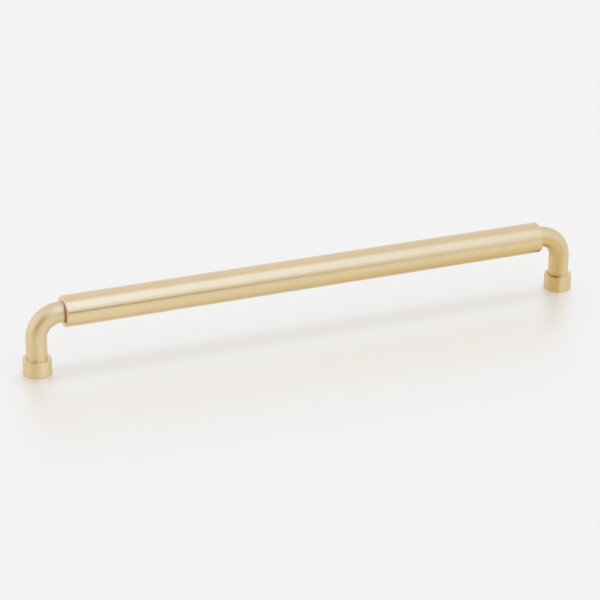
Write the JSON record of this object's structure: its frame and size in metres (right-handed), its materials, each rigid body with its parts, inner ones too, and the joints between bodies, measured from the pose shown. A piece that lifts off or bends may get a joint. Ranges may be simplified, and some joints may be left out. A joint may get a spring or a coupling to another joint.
{
  "type": "cabinet pull",
  "caption": "Satin brass cabinet pull: a thick round grip carried on thinner bent rods, each with a short turned collar at its foot and a tapped hole for a fixing screw.",
  "frame": {"origin": "on the mounting face, halfway between the two feet", "axes": "+X along the grip, +Z away from the mounting face"},
  "size_m": [0.2688, 0.0142, 0.0346],
  "materials": {
    "satin_brass_grip": "satin, brushed round the bar",
    "satin_brass_rod": "satin, brushed round the rod",
    "satin_brass_collar": "satin, turned",
    "steel_screw": "plain machined steel"
  },
  "bodies": {
    "root": {"grip_bar": "satin_brass_grip", "left_elbow_post": "satin_brass_rod", "right_elbow_post": "satin_brass_rod", "left_foot_collar": "satin_brass_collar", "right_foot_collar": "satin_brass_collar", "left_joining_screw": "steel_screw", "right_joining_screw": "steel_screw"}
  },
  "joints": []
}
